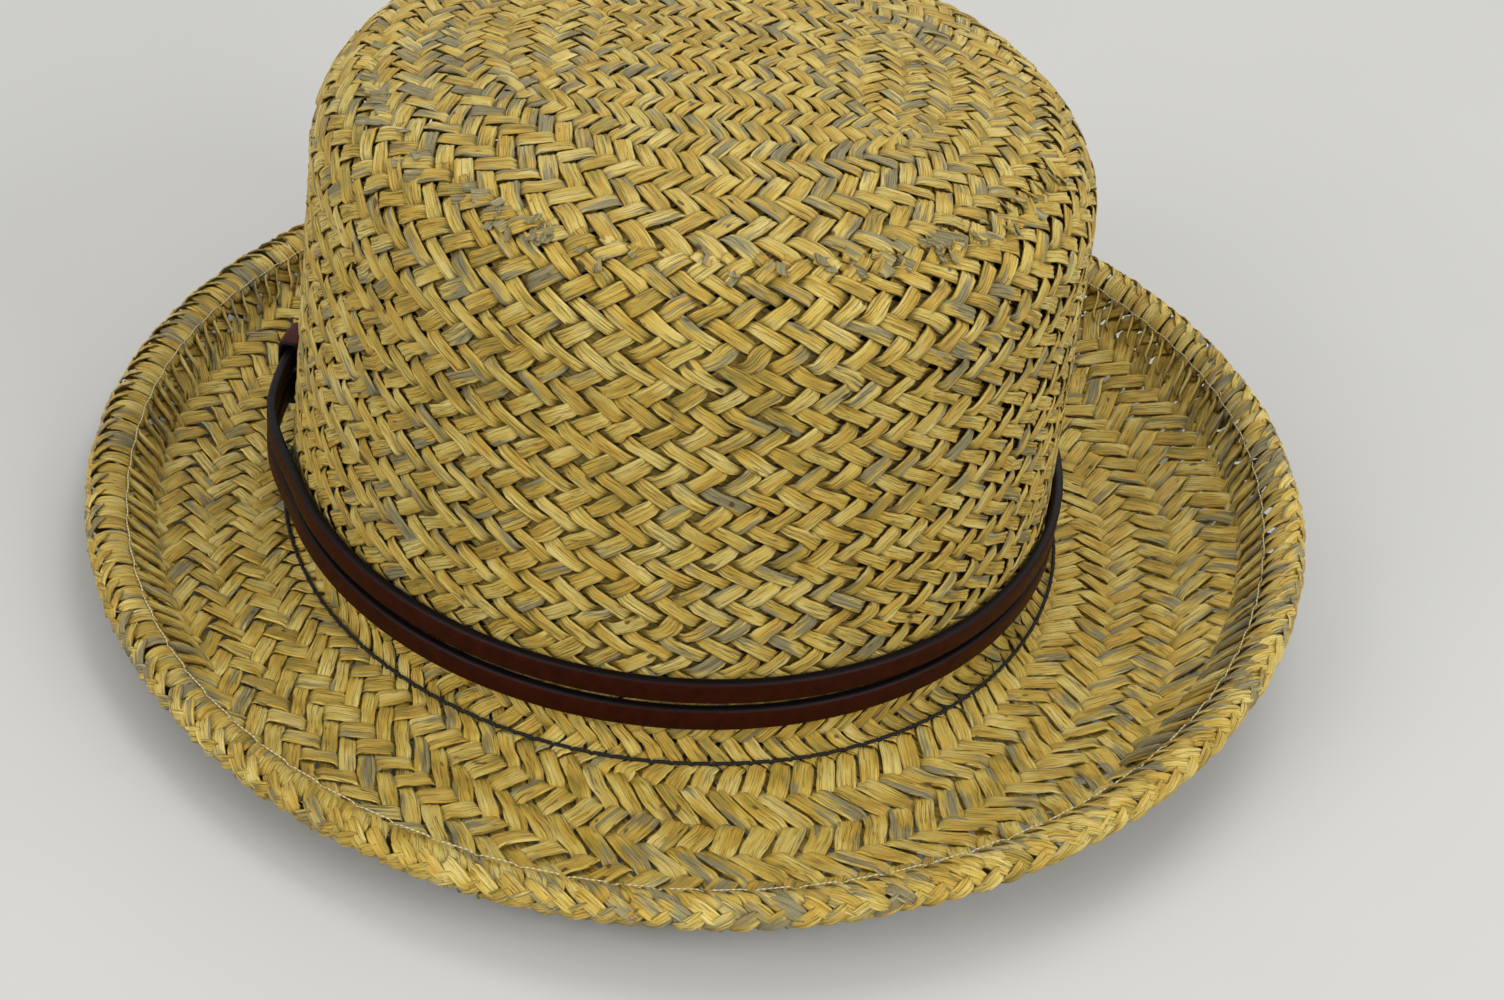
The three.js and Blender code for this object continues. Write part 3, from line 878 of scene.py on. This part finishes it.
class Nodes:
    """Short calls for building one material's node tree."""

    def __init__(self, name):
        self.material = bpy.data.materials.new(name)
        self.material.use_nodes = True
        self.tree = self.material.node_tree
        self.shader = self.tree.nodes["Principled BSDF"]

    def add(self, kind, **settings):
        node = self.tree.nodes.new(kind)
        for key, value in settings.items():
            setattr(node, key, value)
        return node

    def feed(self, sockets, values):
        """Sets each plain number or colour on its socket, and links every other node's output."""
        for socket, value in zip(sockets, values):
            if isinstance(value, (int, float)):
                socket.default_value = value
            elif isinstance(value, tuple):
                socket.default_value = (*value, 1)
            else:
                self.tree.links.new(value, socket)

    def surface(self, name, value):
        self.feed([self.shader.inputs[name]], [value])

    def attribute(self, name):
        return self.add("ShaderNodeAttribute", attribute_name=name).outputs["Fac"]

    def place(self):
        """Where a point is on its piece, in metres."""
        return self.add("ShaderNodeTexCoord").outputs["Object"]

    def math(self, operation, *values):
        node = self.add("ShaderNodeMath", operation=operation)
        self.feed(node.inputs, values)
        return node.outputs[0]

    def vector(self, *values):
        node = self.add("ShaderNodeCombineXYZ")
        self.feed(node.inputs, values)
        return node.outputs[0]

    def noise(self, vector, scale, detail, roughness):
        node = self.add("ShaderNodeTexNoise")
        sockets = [node.inputs[key] for key in ("Vector", "Scale", "Detail", "Roughness")]
        self.feed(sockets, (vector, scale, detail, roughness))
        return node.outputs["Fac"]

    def ramp(self, value, *stops):
        node = self.add("ShaderNodeValToRGB")
        elements = node.color_ramp.elements
        while len(elements) < len(stops):
            elements.new(0.5)
        for element, (position, color) in zip(elements, stops):
            element.position = position
            element.color = (*color, 1)
        self.feed([node.inputs["Fac"]], [value])
        return node.outputs["Color"]

    def span(self, value, low, high, to_low=0.0, to_high=1.0):
        node = self.add("ShaderNodeMapRange", interpolation_type="SMOOTHSTEP")
        sockets = [node.inputs[key] for key in ("Value", "From Min", "From Max", "To Min", "To Max")]
        self.feed(sockets, (value, low, high, to_low, to_high))
        return node.outputs["Result"]

    def mix(self, share, first, second, blend="MIX"):
        node = self.add("ShaderNodeMix", data_type="RGBA", blend_type=blend)
        # Its inputs 0, 6 and 7 and its output 2 are the ones for mixing colours.
        self.feed((node.inputs[0], node.inputs[6], node.inputs[7]), (share, first, second))
        return node.outputs[2]

    def bump(self, height, strength, distance):
        node = self.add("ShaderNodeBump")
        sockets = [node.inputs[key] for key in ("Height", "Strength", "Distance")]
        self.feed(sockets, (height, strength, distance))
        self.surface("Normal", node.outputs["Normal"])


def scaled(color, factor):
    return tuple(factor * value for value in color)


def straw_material(name, seed, grey, gap_shade, painted_light=1.0):
    """Dried leaf: fibres and creases along the strand, grey weathering, and a few brown knots.

    grey is how much of it has weathered, and gap_shade is how dark the painted shade is where strands dive
    under; three quarters of it is painted along their edges. The last argument is painted light and shade:
    it darkens or lightens the whole piece to match how brightly that part is lit.
    """
    nodes = Nodes(name)
    across = nodes.attribute("across")
    along = nodes.attribute("along")
    strand = nodes.math("MULTIPLY_ADD", nodes.attribute("strand"), 7.31, seed)

    def grain(width_scale, length_scale, offset, detail, roughness):
        vector = nodes.vector(
            nodes.math("MULTIPLY", across, width_scale),
            nodes.math("MULTIPLY", along, length_scale),
            nodes.math("ADD", strand, offset),
        )
        return nodes.noise(vector, 1.0, detail, roughness)

    fibres = grain(4.2, 0.1, 0.0, 4.0, 0.75)
    creases = grain(1.5, 0.045, 31.0, 2.0, 0.5)
    streaks = grain(1.6, 0.08, 57.0, 3.0, 0.6)
    weathering = grain(0.3, 0.055, 71.0, 1.0, 0.4)
    tone = grain(0.25, 0.075, 83.0, 2.0, 0.5)
    knots = grain(0.45, 0.2, 131.0, 1.0, 0.4)

    color = nodes.ramp(tone, (0.32, OLIVE), (0.43, AMBER), (0.54, STRAW), (0.7, PALE))
    patches = nodes.math("MULTIPLY_ADD", nodes.noise(nodes.place(), 26.0, 2.0, 0.5), 0.5, -0.25)
    streaky = nodes.math("MULTIPLY_ADD", streaks, 0.7, patches)
    greyness = nodes.math("MULTIPLY_ADD", weathering, 1.3, streaky)
    color = nodes.mix(nodes.span(greyness, 1.16 - 0.12 * grey, 1.3 - 0.12 * grey, 0.0, 0.85), color, GREY)
    color = nodes.mix(nodes.span(fibres, 0.48, 0.35, 0.0, 0.72), color, DARK_FIBRE_AND_SHADE)
    color = nodes.mix(nodes.span(fibres, 0.55, 0.7, 0.0, 0.5), color, FIBRE_LIGHT)
    crease = nodes.span(nodes.math("ABSOLUTE", nodes.math("SUBTRACT", creases, 0.5)), 0.022, 0.0)
    # Painted shade: dark lines along the creases, over the grooves that the bump cuts there.
    color = nodes.mix(nodes.math("MULTIPLY", crease, 0.7), color, DARK_FIBRE_AND_SHADE)
    color = nodes.mix(nodes.span(knots, 0.73, 0.78, 0.0, 0.85), color, KNOT)
    # Painted shade: darker where a strand dives under the next one (low lift), and along its edges.
    depth = nodes.span(nodes.attribute("lift"), 0.75, -0.7, 0.0, gap_shade)
    painted_edge_shade = nodes.span(nodes.attribute("edge"), 0.88, 1.0, 0.0, 0.75 * gap_shade)
    color = nodes.mix(nodes.math("MAXIMUM", depth, painted_edge_shade), color, DARK_FIBRE_AND_SHADE)
    # Painted light and shade: each piece's straw is darkened or lightened as a whole to match how brightly
    # that part is lit, the tip darkest and the brim lightest.
    color = nodes.mix(1.0, color, (painted_light, painted_light, 0.95 * painted_light), "MULTIPLY")
    nodes.surface("Base Color", color)
    nodes.surface("Roughness", nodes.span(fibres, 0.3, 0.7, 0.62, 0.42))
    nodes.surface("Specular IOR Level", 0.3)
    groove = nodes.math("MULTIPLY", crease, 0.5)
    height = nodes.math("SUBTRACT", nodes.math("MULTIPLY", fibres, 1.2), groove)
    nodes.bump(height, 1.0, 0.0006)
    return nodes.material


def leather_material(name, face):
    """Smooth leather with dark, burnished edges."""
    nodes = Nodes(name)
    across = nodes.attribute("across")
    along = nodes.attribute("along")
    edge = nodes.attribute("edge")
    vector = nodes.vector(across, along, nodes.attribute("strand"))
    mottle = nodes.noise(vector, 0.35, 4.0, 0.6)
    pores = nodes.noise(vector, 3.2, 3.0, 0.6)
    stretched = nodes.vector(nodes.math("MULTIPLY", across, 0.5), nodes.math("MULTIPLY", along, 1.6), 5.0)
    creases = nodes.noise(stretched, 1.0, 3.0, 0.6)
    tint = nodes.ramp(mottle, (0.3, scaled(face, 0.6)), (0.7, scaled(face, 1.35)))
    burnish = nodes.span(nodes.math("ADD", edge, nodes.math("MULTIPLY", mottle, 0.3)), 0.45, 0.95)
    nodes.surface("Base Color", nodes.mix(burnish, tint, BURNISHED))
    nodes.surface("Roughness", nodes.span(pores, 0.3, 0.7, 0.4, 0.53))
    nodes.surface("Specular IOR Level", 0.085)
    nodes.bump(nodes.math("ADD", pores, nodes.math("MULTIPLY", creases, 0.7)), 0.35, 0.0003)
    return nodes.material


def thread_material(name, color, roughness):
    """Twisted thread, with painted shade between its plies."""
    nodes = Nodes(name)
    along = nodes.attribute("along")
    across = nodes.attribute("across")
    phase = nodes.math("ADD", nodes.math("MULTIPLY", along, 5.5), nodes.math("MULTIPLY", across, 6.0))
    share = nodes.span(nodes.math("SINE", phase), -1.0, 1.0)
    shade = nodes.mix(share, scaled(color, 0.5), color)
    nodes.surface("Base Color", shade)
    nodes.surface("Roughness", roughness)
    nodes.surface("Specular IOR Level", 0.25)
    nodes.bump(share, 0.5, 0.0002)
    return nodes.material


def cloth_material(name, color, rib=1.6):
    """Ribbed cloth. A rib is given in millimetres."""
    nodes = Nodes(name)
    place = nodes.place()
    fine = nodes.noise(place, 900.0, 3.0, 0.6)
    broad = nodes.noise(place, 60.0, 3.0, 0.6)
    split = nodes.add("ShaderNodeSeparateXYZ")
    nodes.feed(split.inputs, [place])
    ribs = nodes.math("SINE", nodes.math("MULTIPLY", split.outputs["Z"], TURN / (rib * MM)))
    share = nodes.math("ADD", nodes.math("MULTIPLY", fine, 0.6), nodes.math("MULTIPLY", broad, 0.5))
    shade = nodes.mix(nodes.span(share, 0.3, 0.8), scaled(color, 0.55), scaled(color, 1.4))
    nodes.surface("Base Color", shade)
    nodes.surface("Roughness", 0.9)
    nodes.surface("Sheen Weight", 0.25)
    nodes.bump(nodes.math("ADD", fine, nodes.math("MULTIPLY", ribs, 0.4)), 0.6, 0.0004)
    return nodes.material


def wire_material():
    nodes = Nodes("drawn_wire")
    scratches = nodes.noise(nodes.place(), 700.0, 3.0, 0.6)
    steel = nodes.ramp(scratches, (0.3, (0.45, 0.45, 0.46)), (0.7, (0.68, 0.68, 0.7)))
    nodes.surface("Base Color", steel)
    nodes.surface("Metallic", 1.0)
    nodes.surface("Roughness", nodes.span(scratches, 0.3, 0.7, 0.25, 0.45))
    nodes.bump(scratches, 0.2, 0.0001)
    return nodes.material


def table_material():
    nodes = Nodes("pale_table")
    broad = nodes.noise(nodes.place(), 3.0, 3.0, 0.6)
    pale = nodes.ramp(broad, (0.3, (0.317, 0.317, 0.31)), (0.7, (0.342, 0.342, 0.335)))
    nodes.surface("Base Color", pale)
    nodes.surface("Roughness", 0.8)
    return nodes.material


# ---- Assembly ----


def finish_piece(piece, material, body, slot, *replaced):
    piece.data.materials.append(material)
    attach(piece, body)
    if replaced:
        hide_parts(*replaced)


def build_straw():
    crown_straw = straw_material("crown_straw", 3.0, grey=0.3, gap_shade=0.75, painted_light=0.94)
    tip_straw = straw_material("tip_straw", 17.0, grey=0.9, gap_shade=0.55, painted_light=0.9)
    brim_straw = straw_material("brim_straw", 41.0, grey=0.35, gap_shade=0.04, painted_light=1.06)
    edge_straw = straw_material("edge_straw", 71.0, grey=0.85, gap_shade=0.7)
    end_straw = straw_material("cut_ends", 97.0, grey=3.0, gap_shade=0.5)
    woven = [
        (side_family, "crown_side", 11, crown_straw),
        (tip_family, "crown_tip", 37, tip_straw),
        (brim_family, "brim", 23, brim_straw),
    ]
    for family_of_strands, node, seed, straw in woven:
        for piece in both_ways(family_of_strands, f"{node}_weave", seed):
            finish_piece(piece, straw, "hat", "straw", node)
    for piece in folded_edge():
        finish_piece(piece, edge_straw, "hat", "straw_edge", "brim_hem", "edge_braid")
    finish_piece(loose_fibres(), edge_straw, "hat", "straw_edge")
    finish_piece(splice_ends(), end_straw, "hat", "straw")


def build_threads():
    clear = thread_material("clear_thread", (0.5, 0.44, 0.27), 0.3)
    black = thread_material("black_thread", (0.006, 0.0055, 0.0065), 0.75)
    finish_piece(hem_thread(), clear, "hat", "clear_thread", "hem_thread")
    finish_piece(basting_stitches(), black, "hat", "black_thread", "sweatband_stitching")


def build_leather():
    leather = leather_material("strap_leather", STRAP_FACE)
    keeper_leather = leather_material("keeper_leather", KEEPER_FACE)
    lower = strap("lower_leather_strap", STRAP_LOW[2])
    upper = strap("upper_leather_strap", UPPER_STRAP_BOTTOM)
    finish_piece(lower, leather, "hatband", "strap_leather", "lower_strap")
    finish_piece(upper, leather, "hatband", "strap_leather", "upper_strap")
    finish_piece(keeper(), keeper_leather, "keeper", "keeper_leather", "band_keeper")


def build_inside():
    """The sweatband, the tape over its joint, the blank label, and the brim's wire."""
    half_gap = 0.3 / CROWN_HALF_DEPTH
    around = (SWEATBAND_JOINT + half_gap, SWEATBAND_JOINT + TURN - half_gap)
    band_look = cloth_material("sweatband_cloth", (0.02, 0.019, 0.021))
    band, flat = inner_cloth("black_sweatband", around, "sweatband", SWEATBAND_OUTSET, SWEATBAND_THICKNESS)
    finish_piece(band, band_look, "hat", "sweatband_cloth", "sweatband")
    trims = [
        ("size_label", "blank_label", "label_cloth", (0.62, 0.6, 0.52)),
        ("sweatband_joint_tape", "joint_tape_strip", "joint_tape", (0.03, 0.026, 0.025)),
    ]
    for node, name, slot, color in trims:
        piece, flat = inner_cloth(name, node_angles(node), node, TRIM_OUTSET, TRIM_THICKNESS)
        finish_piece(piece, cloth_material(slot, color, TRIM_RIB), "hat", slot, node)
    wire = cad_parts["brim_wire"]
    wire.data.materials.clear()
    wire.data.materials.append(wire_material())


def add_floor():
    size = 12.0
    mesh = bpy.data.meshes.new("table")
    corners = [(-size, -size, 0), (size, -size, 0), (size, size, 0), (-size, size, 0)]
    mesh.from_pydata(corners, [], [(0, 1, 2, 3)])
    table = bpy.data.objects.new("table", mesh)
    bpy.context.collection.objects.link(table)
    mesh.materials.append(table_material())


def add_area_light(name, place, target, size, energy, color):
    light = bpy.data.lights.new(name, "AREA")
    light.shape = "DISK"
    light.size = size
    light.energy = energy
    light.color = color
    lamp = bpy.data.objects.new(name, light)
    lamp.location = place
    lamp.rotation_euler = (Vector(target) - Vector(place)).to_track_quat("-Z", "Y").to_euler()
    bpy.context.collection.objects.link(lamp)


def add_lights():
    world = bpy.data.worlds.new("studio")
    world.use_nodes = True
    background = world.node_tree.nodes["Background"]
    background.inputs["Color"].default_value = (1.0, 0.99, 0.97, 1)
    background.inputs["Strength"].default_value = 1.0
    bpy.context.scene.world = world
    add_area_light("overhead", (0.3, 0.5, 1.2), (0, 0, 0.05), 0.8, 7.5, (1, 0.99, 0.97))
    add_area_light("left_fill", (-0.95, -0.9, 0.7), (0, 0, 0.06), 0.9, 15.5, (1, 0.99, 0.96))
    add_area_light("right_fill", (1.05, -0.7, 0.65), (0, 0, 0.06), 0.9, 16, (1, 0.99, 0.96))


def turned(first, second, angle):
    """Two directions at right angles to each other, turned in their own plane."""
    cosine, sine = math.cos(angle), math.sin(angle)
    return first * cosine + second * sine, second * cosine - first * sine


def add_camera():
    sine, cosine = math.sin(CAMERA_ELEVATION), math.cos(CAMERA_ELEVATION)
    right = Vector((1, 0, 0))
    up = Vector((0, sine, cosine))
    forward = Vector((0, cosine, -sine))
    target = Vector((CROWN_X * MM, 0, CAMERA_TARGET_HEIGHT))
    place = target - forward * CAMERA_DISTANCE
    right, up = turned(right, up, CAMERA_ROLL)
    right, forward = turned(right, forward, CAMERA_PAN)
    up, forward = turned(up, forward, CAMERA_TILT)
    lens = bpy.data.cameras.new("camera")
    lens.lens = CAMERA_LENS
    lens.sensor_width = 36
    lens.sensor_fit = "HORIZONTAL"
    lens.clip_start = 0.01
    camera = bpy.data.objects.new("camera", lens)
    camera.matrix_world = Matrix.Translation(place) @ Matrix((right, up, -forward)).transposed().to_4x4()
    bpy.context.collection.objects.link(camera)
    bpy.context.scene.camera = camera


add_camera()
build_straw()
build_threads()
build_leather()
build_inside()
add_floor()
add_lights()
bpy.context.scene.view_settings.view_transform = "Standard"
